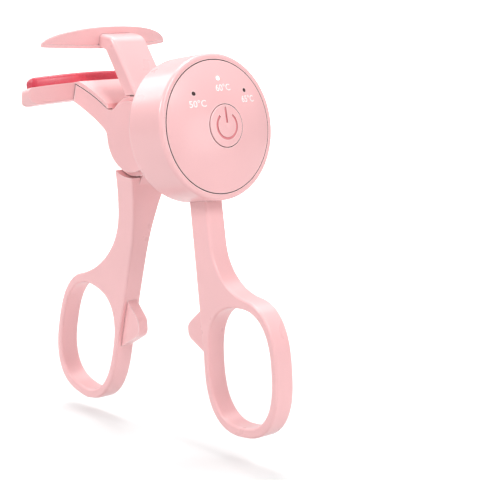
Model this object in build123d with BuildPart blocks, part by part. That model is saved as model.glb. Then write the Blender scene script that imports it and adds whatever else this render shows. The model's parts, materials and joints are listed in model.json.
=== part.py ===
"""Heated scissor-type eyelash curler, standing open at rest.

Millimetres, +Z up. The pieces are drawn round the centre of the pivot, whose axis is Y, and finish() moves them
so that the origin is the middle of the object's foot. X runs from the eye (-X) to the front of the drum (+X).
-Y is called the near side and +Y the far side.
"""

import os
from math import copysign, cos, pi, radians, sin, sqrt

from build123d import *

os.makedirs("parts", exist_ok=True)

# ---------------------------------------------------------------- driving dimensions

drum_radius = 19.0
drum_depth = 13.5
drum_back = 15.2
drum_front = drum_back + drum_depth
back_wall = 1.6
panel_radius = 17.4
panel_rise = 3.4
panel_wall = 1.4

hub_radius = 9.5
hub_half_width = 7.0
cover_thickness = 1.6
cheek_outer = hub_half_width - cover_thickness
cheek_inner = 4.0
pin_radius = 2.0

jaw_travel = 20.7
jaw_dip = 5.7
jaw_radius = 42.0
jaw_front = -15.8
jaw_depth = 4.6
jaw_half_width = 21.1
pad_top = 21.3
lip_bottom = 21.38

handle_half_thickness = 3.0
seam = 0.24
edge_round = 1.0
handle_edge_round = 0.65
running_gap = 0.04

# The pivot's place above the middle of the object's foot.
pivot_place = Location((2.97, 0, 80.74))

# ---------------------------------------------------------------- shared shapes


def jaw_plane(lean):
    """Plane through the pivot whose normal leans from +Z toward +X by lean degrees."""
    angle = radians(lean)
    return Plane(origin=(0, 0, 0), x_dir=(cos(angle), 0, -sin(angle)), z_dir=(sin(angle), 0, cos(angle)))


lower_plane = jaw_plane(-jaw_dip)
upper_plane = jaw_plane(jaw_travel - jaw_dip)
jaw_centre = jaw_front - jaw_radius


def jaw_front_view(plane):
    """A jaw's front view: its own x is world Y and its own y is the height above the pivot."""
    return Plane(origin=(0, 0, 0), x_dir=(0, 1, 0), z_dir=tuple(plane.x_dir))


def jaw_band(plane, height, front_radius, back_radius, half_width):
    """Curved strip that follows the eyelid, drawn in a jaw's plane at a height above the pivot."""
    with BuildSketch(plane.offset(height)) as band:
        with Locations((jaw_centre, 0)):
            Circle(front_radius)
            Circle(back_radius, mode=Mode.SUBTRACT)
        with Locations((jaw_front, 0)):
            Rectangle(jaw_radius, 2 * half_width, mode=Mode.INTERSECT)
    return band.sketch


def side_plane(y):
    """Plane parallel to XZ at a given Y. Extruding from it goes toward -Y."""
    return Plane.XZ.offset(-y)


def drum_plane(x):
    """Plane square to the drum's axis at a given X. Its own x is world Y and its own y is world Z."""
    return Plane.YZ.offset(x)


# The neck of the lower jaw, in the side view. Top and bottom edges run from the beam down into the hub.
neck_top_at_beam = (-19.7, 17.0)
neck_top_at_hub = (-5.3, 6.1)
neck_bottom_at_beam = (-22.3, 14.2)
neck_bottom_at_hub = (-7.0, -0.2)
neck_root_round = 3.0
bridge_half_height = 7.4

neck_rim_at_beam = (-19.7, 18.6)
neck_rim_at_hub = (neck_top_at_hub[0] - 2.6, neck_top_at_hub[1] + 3.6)

# The neck's sides run straight from the drum and flare out toward the beam, in the plan view.
flare_start = -9.5
flare_end = (-22.5, 11.75)


def cover_outline(plane, margin):
    """Side cover's outline: the neck, the hub disc and the bridge to the drum."""
    with BuildSketch(plane) as outline:
        Polygon(neck_top_at_beam, neck_top_at_hub, neck_bottom_at_hub, neck_bottom_at_beam, align=None)
        Circle(hub_radius)
        corners = outline.vertices().filter_by(lambda v: abs(v.center().length - hub_radius) < 0.01)
        fillet(corners.sort_by(Axis.X)[:2], neck_root_round)
        with Locations((drum_back / 2, 0)):
            Rectangle(drum_back - 2 * seam, 2 * bridge_half_height)
        if margin:
            offset(amount=margin, kind=Kind.INTERSECTION)
    return outline.sketch


def plan_outline():
    """Plan of the lower jaw's neck and hub, with both sides flaring out toward the beam."""
    end_x, end_half = flare_end
    with BuildSketch(Plane.XY) as plan:
        with BuildLine():
            far_side = TangentArc((flare_start, hub_half_width), (end_x, end_half), tangent=(-1, 0))
            near_side = TangentArc((flare_start, -hub_half_width), (end_x, -end_half), tangent=(-1, 0))
            Line(far_side @ 1, near_side @ 1)
            Polyline(
                far_side @ 0, (drum_back, hub_half_width), (drum_back, -hub_half_width), near_side @ 0
            )
        make_face()
    return plan.sketch


def screw_bodies(plane, places, length):
    """Countersunk screws set into a plane, pointing along its normal, without their drive recesses."""
    with BuildPart() as bodies:
        with BuildSketch(plane):
            with Locations(*places):
                Circle(screw_head_radius)
        extrude(amount=screw_head_height, taper=screw_head_taper)
        with BuildSketch(plane):
            with Locations(*places):
                Circle(screw_shank_radius)
        extrude(amount=length)
    return bodies.part


def cross_recesses(plane, places):
    """Cross-shaped drive recesses for a set of screws."""
    with BuildPart() as recesses:
        with BuildSketch(plane):
            with Locations(*places):
                Rectangle(screw_head_radius * 1.2, screw_head_radius * 0.28)
                Rectangle(screw_head_radius * 0.28, screw_head_radius * 1.2)
        extrude(amount=screw_head_height * 0.5)
    return recesses.part


def finish(piece, name):
    """Moves a finished piece to the object's own frame, labels it and writes it out."""
    placed = piece.part.moved(pivot_place)
    placed.label = name
    export_step(placed, f"parts/{name}.step")


screw_head_radius = 1.5
screw_head_height = 0.9
screw_head_taper = 30
screw_shank_radius = 0.8

# ---------------------------------------------------------------- lower jaw

beam_height = 4.6
beam_lean = 18
beam_half_width = jaw_half_width + 0.1
beam_corner_round = 2.9
beam_rim_inset_height = 1.3
beam_plan_round = 1.2
beam_keel_round = 0.8
cover_end_gap = 0.34
pad_height = 2.9
beam_rim = pad_top - pad_height
beam_floor = beam_rim - beam_height
groove_wall = 0.7
groove_depth = 1.3
groove_front = jaw_radius - groove_wall
groove_back = jaw_radius - jaw_depth + groove_wall
groove_end_wall = 1.1
groove_half_width = jaw_half_width - groove_end_wall
jaw_up = Axis((0, 0, 0), tuple(lower_plane.z_dir))
beam_down = -jaw_plane(beam_lean - jaw_dip).z_dir

# Step between the covers' discs and the wider cheeks behind them, and the gap round the cheeks.
band_step = 1.2
eye_slot_radius = hub_radius + band_step + 0.5

# The heater's two wires run in one plane under the near cover, from the groove to the drum.
wire_radius = 0.3
wire_y = -(cheek_outer + 0.42)
wire_pitch = 0.75
wire_bend = 0.9
wire_channel_depth = 0.85
wire_route = [(-19.0, 14.7), (-19.0, 13.2), (-5.5, 1.5), (0, -4.6), (drum_back + back_wall + 0.5, -4.6)]

peg_places = [(-13.4, 10.6), (6.5, 4.2)]
peg_radius = 0.8
peg_length = 1.0

frame_screw_places = [(0, 4.6), (0, -4.6)]
frame_screw_length = 4.9

# Torsion spring round the pivot, near half of the eye.
spring_radius = 4.2
spring_wire = 0.32
spring_turns = 2.5
spring_pitch = 0.75
spring_start = -3.35
spring_leg = 1.3
spring_leg_radius = 0.29


def neck_block():
    """Solid neck between the beam and the hub, with flared sides and a rim above the covers."""
    with BuildPart() as block:
        with BuildSketch(Plane.XZ):
            Polygon(neck_rim_at_beam, neck_rim_at_hub, neck_bottom_at_hub, neck_bottom_at_beam, align=None)
        extrude(amount=drum_radius, both=True)
        extrude(plan_outline(), amount=drum_radius, both=True, mode=Mode.INTERSECT)
    return block.part


def wire_channel(margin):
    """Channel for the heater's wires, cut outward from the covers' inner face."""
    with BuildPart() as channel:
        with BuildSketch(side_plane(-cheek_outer)):
            with BuildLine():
                Polyline(*wire_route)
            trace(line_width=2 * (wire_pitch + wire_radius) + margin)
        extrude(amount=wire_channel_depth)
    return channel.part


def beam_bar():
    """Bar that carries the pad. Its walls lean forward toward the rim, and its ends and keel are rounded."""
    with BuildPart() as bar:
        band = jaw_band(lower_plane, beam_rim, jaw_radius, jaw_radius - jaw_depth, beam_half_width)
        extrude(band, amount=beam_height / cos(radians(beam_lean)), dir=beam_down)
        fillet(bar.edges().filter_by(Axis((0, 0, 0), tuple(beam_down))), beam_plan_round)
        fillet(bar.edges().group_by(jaw_up)[0], beam_keel_round)
        # Front view: both ends are rounded, more below than at the rim.
        with BuildSketch(jaw_front_view(lower_plane)):
            with Locations((0, beam_floor)):
                RectangleRounded(
                    2 * beam_half_width,
                    beam_height + beam_rim_inset_height,
                    beam_corner_round,
                    align=(Align.CENTER, Align.MIN),
                )
        extrude(amount=2 * jaw_radius, both=True, mode=Mode.INTERSECT)
    return bar.part


with BuildPart() as jaw_frame:
    add(neck_block())
    # Cheeks on both sides of the lever's eye, and the block that meets the drum.
    with BuildSketch(Plane.XZ):
        Circle(hub_radius + band_step)
        with Locations((drum_back / 2, 0)):
            Rectangle(drum_back, 2 * bridge_half_height)
    extrude(amount=cheek_outer, both=True)
    # Pockets for the two side covers, and the peg holes that hold them.
    for side in (-1, 1):
        pocket = cover_outline(side_plane(side * cheek_outer), seam)
        extrude(pocket, amount=-side * drum_radius, mode=Mode.SUBTRACT)
        with BuildSketch(side_plane(side * cheek_outer)):
            with Locations(*peg_places):
                Circle(peg_radius + running_gap)
        extrude(amount=side * (peg_length + 0.1), mode=Mode.SUBTRACT)
    # The beam crosses the ends of both pockets, and the neck stays clear of the pad above it.
    above_beam = jaw_band(lower_plane, beam_rim, jaw_radius + pad_height, jaw_radius - 3 * jaw_depth, jaw_half_width)
    extrude(above_beam, amount=2 * pad_height, mode=Mode.SUBTRACT)
    add(beam_bar())
    # Slot for the lever's eye.
    with BuildSketch(Plane.XZ):
        Circle(eye_slot_radius)
    extrude(amount=cheek_inner, both=True, mode=Mode.SUBTRACT)
    # Bore for the pivot pin.
    with BuildSketch(Plane.XZ):
        Circle(pin_radius + 0.01)
    extrude(amount=cheek_outer, both=True, mode=Mode.SUBTRACT)
    # Groove for the heater and the pad.
    groove = jaw_band(lower_plane, beam_rim, groove_front, groove_back, groove_half_width)
    extrude(groove, amount=-groove_depth, mode=Mode.SUBTRACT)
    add(wire_channel(0), mode=Mode.SUBTRACT)
    # Holes for the screws from the drum, and the blind hole for the spring's fixed leg.
    with BuildSketch(drum_plane(drum_back)):
        with Locations(*frame_screw_places):
            Circle(screw_shank_radius)
    extrude(amount=-frame_screw_length, mode=Mode.SUBTRACT)
    with BuildSketch(side_plane(-cheek_inner)):
        with Locations((0, spring_radius)):
            Circle(spring_wire + running_gap)
    extrude(amount=spring_leg, mode=Mode.SUBTRACT)
finish(jaw_frame, "jaw_frame")

# Side covers: plates whose outer faces follow the neck's flare, each with two pegs.
for name, side in (("near_cover", -1), ("far_cover", 1)):
    with BuildPart() as cover:
        extrude(cover_outline(side_plane(side * cheek_outer), 0), amount=-side * drum_radius)
        extrude(plan_outline(), amount=drum_radius, both=True, mode=Mode.INTERSECT)
        space_front = jaw_radius + cover_end_gap
        beam_space = jaw_band(lower_plane, beam_rim, space_front, jaw_radius - 3 * jaw_depth, jaw_half_width)
        extrude(beam_space, amount=2 * beam_height, dir=beam_down, both=True, mode=Mode.SUBTRACT)
        with BuildSketch(side_plane(side * cheek_outer)):
            with Locations(*peg_places):
                Circle(peg_radius)
        extrude(amount=side * peg_length)
        if side < 0:
            add(wire_channel(0.2), mode=Mode.SUBTRACT)
    finish(cover, name)

# Silicone pad, held in the groove and domed along its length.
pad_clearance = 0.08
heater_thickness = 0.4
pad_foot = beam_rim - groove_depth + heater_thickness
with BuildPart() as eyelash_pad:
    foot = jaw_band(
        lower_plane, pad_foot, groove_front - pad_clearance, groove_back + pad_clearance, groove_half_width - 0.1
    )
    extrude(foot, amount=pad_top - pad_foot)
    chamfer(eyelash_pad.edges().group_by(jaw_up)[-1], 0.5)
finish(eyelash_pad, "eyelash_pad")

# Heater strip under the pad, on the floor of the groove.
with BuildPart() as heater_strip:
    strip = jaw_band(
        lower_plane, beam_rim - groove_depth, groove_front - 0.3, groove_back + 0.3, groove_half_width - 1.2
    )
    extrude(strip, amount=heater_thickness)
finish(heater_strip, "heater_strip")

# ---------------------------------------------------------------- drum

panel_ledge = 1.4
bore_radius = panel_radius - 1.0
dome_radius = (panel_radius**2 + panel_rise**2) / (2 * panel_rise)
dome_tip = drum_front + panel_rise
led_radius = 12.3
led_spread = 44.5
led_window_radius = 0.55
button_radius = 5.45
button_gap = 0.2
board_back = 24.6
board_thickness = 0.8
board_front = board_back + board_thickness
board_radius = 15.8
boss_radius = 1.7
boss_places = [(5.0, 13.2), (-5.0, 13.2), (11.5, -8.0), (-11.5, -8.0)]
led_angles = (-led_spread, 0, led_spread)
led_places = [(led_radius * sin(radians(a)), led_radius * cos(radians(a))) for a in led_angles]

tongue_left = 16.85
tongue_right = 24.4
tongue_top = -8.5
tongue_foot = -18.8
handle_screw_places = [(0, -11.0), (0, -14.8)]
handle_screw_length = 6.0

usb_half_length = 4.47
usb_height = 3.2
usb_depth = 7.3
usb_x = board_back - usb_height / 2 - 0.02
usb_mouth = drum_radius - 0.6

drum_back_inner = Plane(origin=(drum_back + back_wall, 0, 0), x_dir=(0, 1, 0), z_dir=(-1, 0, 0))


def dome_height(radius):
    """X of the front panel's outer surface at a distance from the drum's axis."""
    return dome_tip - dome_radius + sqrt(dome_radius**2 - radius**2)


def handle_tongue(foot, gap):
    """Top of the right handle, where it passes through the drum's wall."""
    with BuildPart() as tongue:
        with BuildSketch(Plane.XZ):
            with Locations(((tongue_left + tongue_right) / 2, (tongue_top + foot) / 2)):
                Rectangle(tongue_right - tongue_left + 2 * gap, tongue_top - foot + 2 * gap)
        extrude(amount=handle_half_thickness + gap, both=True)
    return tongue.part


def usb_slot(plane_y, depth, grow):
    """Rounded slot of a USB-C socket, cut toward -Y."""
    with BuildPart() as slot:
        with BuildSketch(side_plane(plane_y)):
            with Locations((usb_x, 0)):
                RectangleRounded(
                    usb_height + 2 * grow, 2 * (usb_half_length + grow), usb_height / 2 + grow - 0.02
                )
        extrude(amount=depth)
    return slot.part


with BuildPart() as drum_housing:
    with BuildSketch(Plane.XZ):
        Polygon(
            (drum_back, 0),
            (drum_back, drum_radius),
            (drum_front, drum_radius),
            (drum_front, panel_radius),
            (drum_front - panel_ledge, panel_radius),
            (drum_front - panel_ledge, bore_radius),
            (drum_back + back_wall, bore_radius),
            (drum_back + back_wall, 0),
            align=None,
        )
    revolve(axis=Axis.X)
    rims = drum_housing.edges().filter_by(lambda e: e.geom_type == GeomType.CIRCLE and e.radius > drum_radius - 0.1)
    fillet(rims, edge_round)
    add(handle_tongue(-drum_radius - 1, 0.05), mode=Mode.SUBTRACT)
    add(usb_slot(drum_radius + 1, 5, 0.15), mode=Mode.SUBTRACT)
    add(screw_bodies(drum_back_inner, frame_screw_places, back_wall), mode=Mode.SUBTRACT)
    add(screw_bodies(drum_plane(drum_back), boss_places, back_wall), mode=Mode.SUBTRACT)
    add(screw_bodies(drum_plane(drum_back), handle_screw_places, back_wall), mode=Mode.SUBTRACT)
    # Hole for the heater's wires.
    with BuildSketch(drum_plane(drum_back)):
        with Locations((wire_y, wire_route[-1][1])):
            RectangleRounded(1.1, 2.0, 0.5)
    extrude(amount=back_wall, mode=Mode.SUBTRACT)
finish(drum_housing, "drum_housing")

with BuildPart() as front_panel:
    # Domed shell with a flange that sits on the housing's ledge.
    rim = panel_radius - seam
    inner_rim = bore_radius - 0.8
    with BuildSketch(Plane.XZ):
        with BuildLine():
            outer = RadiusArc((dome_height(rim), rim), (dome_tip, 0), dome_radius)
            inner = RadiusArc((dome_tip - panel_wall, 0), (drum_front - panel_ledge + 0.9, inner_rim), -dome_radius)
            Line(outer @ 1, inner @ 0)
            Polyline(
                inner @ 1,
                (drum_front - panel_ledge, inner_rim),
                (drum_front - panel_ledge, rim),
                outer @ 0,
            )
        make_face()
    revolve(axis=Axis.X)
    # Screw bosses that reach back to the housing.
    with BuildSketch(drum_plane(drum_back + back_wall)):
        with Locations(*boss_places):
            Circle(boss_radius)
    extrude(until=Until.NEXT)
    with BuildSketch(drum_plane(drum_back + back_wall)):
        with Locations(*boss_places):
            Circle(screw_shank_radius)
    extrude(amount=7.5, mode=Mode.SUBTRACT)
    with BuildSketch(drum_plane(drum_front - panel_ledge)):
        Circle(button_radius + button_gap)
        with Locations(*led_places):
            Circle(led_window_radius)
    extrude(amount=2 * panel_rise, mode=Mode.SUBTRACT)
finish(front_panel, "front_panel")

# Light windows, flush with the dome.
with BuildPart() as light_windows:
    with BuildSketch(drum_plane(board_front + 0.9)):
        with Locations(*led_places):
            Circle(led_window_radius)
    extrude(amount=dome_tip - board_front)
    with BuildSketch(Plane.XZ):
        with BuildLine():
            outer = RadiusArc((drum_front, panel_radius), (dome_tip, 0), dome_radius)
            Polyline(outer @ 1, (drum_back, 0), (drum_back, panel_radius), outer @ 0)
        make_face()
    revolve(axis=Axis.X, mode=Mode.INTERSECT)
    with BuildSketch(drum_plane(board_front + 1.6)):
        with Locations(*led_places):
            Circle(1.6 * led_window_radius)
    extrude(amount=0.8)
finish(light_windows, "light_windows")

with BuildPart() as panel_screws:
    add(screw_bodies(drum_plane(drum_back), boss_places, 7.0))
    add(cross_recesses(drum_plane(drum_back), boss_places), mode=Mode.SUBTRACT)
finish(panel_screws, "panel_screws")

with BuildPart() as frame_screws:
    add(screw_bodies(drum_back_inner, frame_screw_places, back_wall + frame_screw_length - 0.4))
    add(cross_recesses(drum_back_inner, frame_screw_places), mode=Mode.SUBTRACT)
finish(frame_screws, "frame_screws")

with BuildPart() as handle_screws:
    add(screw_bodies(drum_plane(drum_back), handle_screw_places, handle_screw_length))
    add(cross_recesses(drum_plane(drum_back), handle_screw_places), mode=Mode.SUBTRACT)
finish(handle_screws, "handle_screws")

# ---------------------------------------------------------------- electronics in the drum

with BuildPart() as circuit_board:
    with BuildSketch(drum_plane(board_back)):
        Circle(board_radius)
        with Locations(*boss_places):
            Circle(boss_radius + 0.2, mode=Mode.SUBTRACT)
    extrude(amount=board_thickness)
finish(circuit_board, "circuit_board")

with BuildPart() as status_leds:
    with BuildSketch(drum_plane(board_front)):
        with Locations(*led_places):
            RectangleRounded(1.6, 0.8, 0.1)
    extrude(amount=0.6)
finish(status_leds, "status_leds")

# Controller and charger chips: two behind the board, two in front.
chip_height = 0.85
with BuildPart() as board_chips:
    with BuildSketch(drum_plane(board_back)):
        with Locations((-6.2, -11.0), (6.2, -11.0)):
            RectangleRounded(3.4, 3.4, 0.2)
    extrude(amount=-chip_height)
    with BuildSketch(drum_plane(board_front)):
        with Locations((-9.0, 0.5), (9.0, 0.5)):
            RectangleRounded(3.0, 4.2, 0.2)
    extrude(amount=chip_height)
finish(board_chips, "board_chips")

switch_size = 4.6
switch_height = 2.2
plunger_radius = 0.8
press_travel = 0.4
plunger_top = board_front + switch_height + 0.45
plunger_length = 1.5
with BuildPart() as tact_switch:
    with BuildSketch(drum_plane(board_front)):
        RectangleRounded(switch_size, switch_size, 0.4)
    extrude(amount=switch_height)
    with BuildSketch(drum_plane(board_front + switch_height)):
        Circle(plunger_radius + running_gap)
    extrude(amount=-(plunger_length - 0.45 + press_travel + 0.1), mode=Mode.SUBTRACT)
finish(tact_switch, "tact_switch")

with BuildPart() as switch_plunger:
    with BuildSketch(drum_plane(plunger_top)):
        Circle(plunger_radius)
    extrude(amount=-plunger_length)
finish(switch_plunger, "switch_plunger")

button_stand = 0.2
symbol_radius = 3.3
symbol_gap = 76
symbol_bar = (0.7, 4.8)
symbol_groove = 0.7
symbol_depth = 0.3
flange_radius = button_radius + 1.0
flange_front = 30.1
flange_back = 29.3
with BuildPart() as power_button:
    # Cap that follows the panel's dome, a flange behind the panel and a stem on the switch.
    with BuildSketch(Plane.XZ):
        with BuildLine():
            cap = RadiusArc(
                (dome_height(button_radius) + button_stand, button_radius), (dome_tip + button_stand, 0), dome_radius
            )
            Polyline(
                cap @ 1,
                (plunger_top, 0),
                (plunger_top, 2 * plunger_radius),
                (flange_back, 2 * plunger_radius),
                (flange_back, flange_radius),
                (flange_front, flange_radius),
                (flange_front, button_radius),
                cap @ 0,
            )
        make_face()
    revolve(axis=Axis.X)
    cap_edges = power_button.edges().filter_by(lambda e: e.geom_type == GeomType.CIRCLE)
    fillet(cap_edges.filter_by(lambda e: abs(e.radius - button_radius) < 0.01).group_by(Axis.X)[-1], 0.2)
    # Engraved power symbol: an open ring and a bar.
    with BuildSketch(drum_plane(dome_height(symbol_radius) + button_stand - symbol_depth)):
        with BuildLine():
            CenterArc((0, 0), symbol_radius, 90 + symbol_gap / 2, 360 - symbol_gap)
        trace(line_width=symbol_groove)
        with BuildLine():
            Line((0, symbol_bar[0]), (0, symbol_bar[1]))
        trace(line_width=symbol_groove)
    extrude(amount=1, mode=Mode.SUBTRACT)
finish(power_button, "power_button")

battery_back = 18.0
battery_size = (21.0, 13.0, 5.4)
battery_centre = (0, 3.8)
with BuildPart() as battery:
    with BuildSketch(drum_plane(battery_back)):
        with Locations(battery_centre):
            RectangleRounded(battery_size[0], battery_size[1], 1.0)
    extrude(amount=battery_size[2])
    fillet(battery.edges().group_by(Axis.X)[0] + battery.edges().group_by(Axis.X)[-1], 0.6)
finish(battery, "battery")

with BuildPart() as battery_foam:
    with BuildSketch(drum_plane(drum_back + back_wall)):
        with Locations(battery_centre):
            RectangleRounded(battery_size[0] - 3, battery_size[1] - 3, 0.5)
    extrude(amount=battery_back - drum_back - back_wall)
finish(battery_foam, "battery_foam")

battery_wire_radius = 0.35
battery_side = -battery_size[0] / 2
with BuildPart() as battery_wires:
    for z in (1.8, 4.2):
        with BuildLine() as lead:
            FilletPolyline(
                (battery_back + 3.5, battery_side, z),
                (battery_back + 3.5, battery_side - 1.8, z),
                (board_back, battery_side - 1.8, z),
                radius=0.8,
            )
        with BuildSketch(side_plane(battery_side)):
            with Locations((battery_back + 3.5, z)):
                Circle(battery_wire_radius)
        sweep(path=lead.line)
finish(battery_wires, "battery_wires")

with BuildPart() as usb_socket:
    add(usb_slot(usb_mouth, usb_depth, 0))
    with BuildSketch(side_plane(usb_mouth)):
        with Locations((usb_x, 0)):
            RectangleRounded(usb_height - 0.6, 2 * usb_half_length - 0.6, usb_height / 2 - 0.32)
            Rectangle(0.7, 6.7, mode=Mode.SUBTRACT)
    extrude(amount=usb_depth - 1.2, mode=Mode.SUBTRACT)
finish(usb_socket, "usb_socket")

# Heater wires: both leads follow the same route, one under the other.
with BuildPart() as heater_wires:
    for lead_number in (-0.5, 0.5):
        shift = lead_number * wire_pitch
        route = [(x + shift, wire_y, z + shift) for x, z in wire_route[1:-1]]
        route.insert(0, (route[0][0], wire_y, wire_route[0][1]))
        route.append((board_back, wire_y, wire_route[-1][1] + shift))
        with BuildLine() as lead:
            FilletPolyline(*route, radius=wire_bend)
        with BuildSketch(Plane(origin=lead.line @ 0, z_dir=lead.line % 0)):
            Circle(wire_radius)
        sweep(path=lead.line)
finish(heater_wires, "heater_wires")

# ---------------------------------------------------------------- finger rings and handles

# Both finger rings have the same squared oval, whose long axis leans toward +X. With the exponent 2 the oval
# would be an ellipse; a larger exponent makes it squarer.
oval_exponent = 2.5
oval_steps = 32
hole_long = 15.6
hole_short = 11.9
ring_long = 18.3
ring_short = 14.0
left_ring = (-34.6, -55.2)
left_lean = 22.5
right_ring = (30.1, -62.4)
right_lean = 4.0

# The right handle comes straight down from the drum.
right_outer_x = 24.0
right_inner_top = (17.3, -18.0)
right_inner_low = (16.3, -61.5)
right_shoulder = (right_outer_x, -45.3)
right_shoulder_round = 15.0

# The left handle runs down from the hub in a straight strip.
left_inner_top = (2.0, -4.0)
left_inner_low = (-20.7, -57.5)
left_outer_top = (-5.4, -4.0)
left_outer_low = (-22.1, -43.5)
left_shoulder = (-21.5, -41.1)
taper_start = -3.0
taper_end = -34.0
taper_top = 9.9
left_shoulder_round = 26.0

# Rounded stops on the handles' facing edges, which meet when the jaws are shut.
right_stop = [(17.2, -46.6), (9.6, -51.4), (9.6, -54.6), (17.2, -60.2)]
left_stop = [(-16.2, -44.0), (-11.6, -50.6), (-11.9, -54.8), (-21.0, -58.3)]
stop_half_thickness = 1.6
stop_round = 2.6


def power_law(value):
    """Sine or cosine bent toward the corners of a squared oval."""
    return copysign(abs(value) ** (2 / oval_exponent), value)


def squared_oval(centre, half_long, half_short, lean):
    """Face of a squared oval in the side view."""
    tilt = radians(lean)
    points = []
    for step in range(oval_steps):
        angle = 2 * pi * step / oval_steps
        across = half_short * power_law(cos(angle))
        along = half_long * power_law(sin(angle))
        points.append(
            (centre[0] + across * cos(tilt) + along * sin(tilt), centre[1] - across * sin(tilt) + along * cos(tilt))
        )
    with BuildSketch(Plane.XZ) as oval:
        with BuildLine():
            Spline(*points, periodic=True)
        make_face()
    return oval.sketch


def ring_with_strip(strip_points, ring_centre, lean, shoulder_at, shoulder_round):
    """Side outline of a handle: strip and ring joined by a smooth shoulder, with the finger hole."""
    with BuildSketch(Plane.XZ) as outline:
        Polygon(*strip_points, align=None)
        add(Plane.XZ.to_local_coords(squared_oval(ring_centre, ring_long, ring_short, lean)))
        fillet(outline.vertices().sort_by_distance(shoulder_at)[0], shoulder_round)
        add(Plane.XZ.to_local_coords(squared_oval(ring_centre, hole_long, hole_short, lean)), mode=Mode.SUBTRACT)
    return outline.sketch


def stop_bump(points):
    """Rounded stop on the inner edge of a handle, thinner than the handle."""
    with BuildPart() as bump:
        with BuildSketch(Plane.XZ):
            Polygon(*points, align=None)
        extrude(amount=stop_half_thickness, both=True)
        tip_edges = bump.edges().filter_by(Axis.Y).filter_by(lambda e: abs(e.center().X) < 14.5)
        fillet(tip_edges, stop_round)
    return bump.part


with BuildPart() as right_handle:
    right_strip = [
        right_inner_top,
        (right_outer_x, right_inner_top[1]),
        (right_outer_x, right_inner_low[1]),
        right_inner_low,
    ]
    extrude(
        ring_with_strip(right_strip, right_ring, right_lean, right_shoulder, right_shoulder_round),
        amount=handle_half_thickness,
        both=True,
    )
    rounded = right_handle.faces().filter_by(Axis.Y).edges()
    rounded = rounded.filter_by(lambda e: e.center().Z < right_inner_top[1] - 1)
    fillet(rounded, handle_edge_round)
    add(stop_bump(right_stop))
    add(handle_tongue(tongue_foot, 0))
    with BuildSketch(drum_plane(tongue_left)):
        with Locations(*handle_screw_places):
            Circle(screw_shank_radius)
    extrude(amount=handle_screw_length - tongue_left + drum_back, mode=Mode.SUBTRACT)
finish(right_handle, "right_handle")

# ---------------------------------------------------------------- moving lever

eye_half_width = 3.65
eye_radius = 8.2
bush_radius = 3.0
neck_half_width = 5.7
neck_top_round = 4.0
lip_height = 0.85
lip_overhang = 0.5
arch_lean = 7
arch_overrun = 0.5
jaw_height = 5.9
bar_depth = 3.7
bar_tip_depth = 0.7
bar_tip_round = 0.15
lever_screw_circle = 6.65
lever_screw_angles = (60, 180, 300)
lever_screw_places = [
    (lever_screw_circle * cos(radians(a)), lever_screw_circle * sin(radians(a))) for a in lever_screw_angles
]
lever_screw_plane = Plane(origin=(0, -eye_half_width, 0), x_dir=(1, 0, 0), z_dir=(0, 1, 0))
lever_screw_length = 6.4
washer_thickness = 0.3
spring_pocket_radius = spring_radius + 0.85
spring_pocket_depth = 2.75

upper_neck_profile = [
    (-1.1, 9.8),
    (-8.3, 24.6),
    (-9.2, 25.0),
    (-11.8, 26.1),
    (-10.9, 29.0),
    (-8.4, 28.5),
    (-4.3, 27.3),
    (4.4, 9.8),
]

upper_web = [(-4.0, 6.5), (-1.4, 12.4), (4.0, 12.4), (6.6, 5.0)]
lower_web = [(-7.6, -3.0), (-8.6, -13.0), (-1.8, -13.0), (3.0, -7.0)]


def half_eye(side):
    """Half of the lever's eye round the pivot: the near half for side -1, the far half for side 1."""
    with BuildPart() as eye:
        with BuildSketch(Plane.XZ):
            Circle(eye_radius)
            Circle(bush_radius, mode=Mode.SUBTRACT)
        extrude(amount=-side * eye_half_width)
    return eye.part


def web(points):
    """Full-width web from the eye's rim out to the relief round the hub."""
    with BuildPart() as block:
        with BuildSketch(Plane.XZ):
            Polygon(*points, align=None)
            Circle(eye_radius, mode=Mode.SUBTRACT)
        extrude(amount=eye_half_width, both=True)
    return block.part


def crescent(inset):
    """Plan of the upper bar: the front follows the pad, and the depth thins toward both tips."""
    tip_x = jaw_centre + sqrt(jaw_radius**2 - jaw_half_width**2)
    with BuildSketch(upper_plane.offset(lip_bottom)) as plan:
        with BuildLine():
            tip_inset = 0.3 * inset
            front = ThreePointArc(
                (tip_x - tip_inset, -jaw_half_width), (jaw_front - inset, 0), (tip_x - tip_inset, jaw_half_width)
            )
            back = ThreePointArc(
                (tip_x - bar_tip_depth, jaw_half_width),
                (jaw_front - bar_depth, 0),
                (tip_x - bar_tip_depth, -jaw_half_width),
            )
            Line(front @ 1, back @ 0)
            Line(back @ 1, front @ 0)
        make_face()
        fillet(plan.vertices(), bar_tip_round)
    return plan.sketch


def arched_bar():
    """Curved bar that presses on the pad: a thin lip with an arched wall standing on it."""
    lip_top_front = upper_plane.from_local_coords((jaw_front, 0, lip_bottom + lip_height))
    with BuildPart() as bar:
        extrude(crescent(lip_overhang), amount=jaw_height)
        # Seen from the front the bar is an arch, and its top falls toward the back.
        with BuildSketch(Plane(origin=lip_top_front, x_dir=(0, 1, 0), z_dir=tuple(jaw_plane(arch_lean).x_dir))):
            Ellipse(jaw_half_width + arch_overrun, jaw_height - lip_height)
        extrude(amount=2 * jaw_radius, both=True, mode=Mode.INTERSECT)
        extrude(crescent(0), amount=lip_height)
    return bar.part


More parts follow.
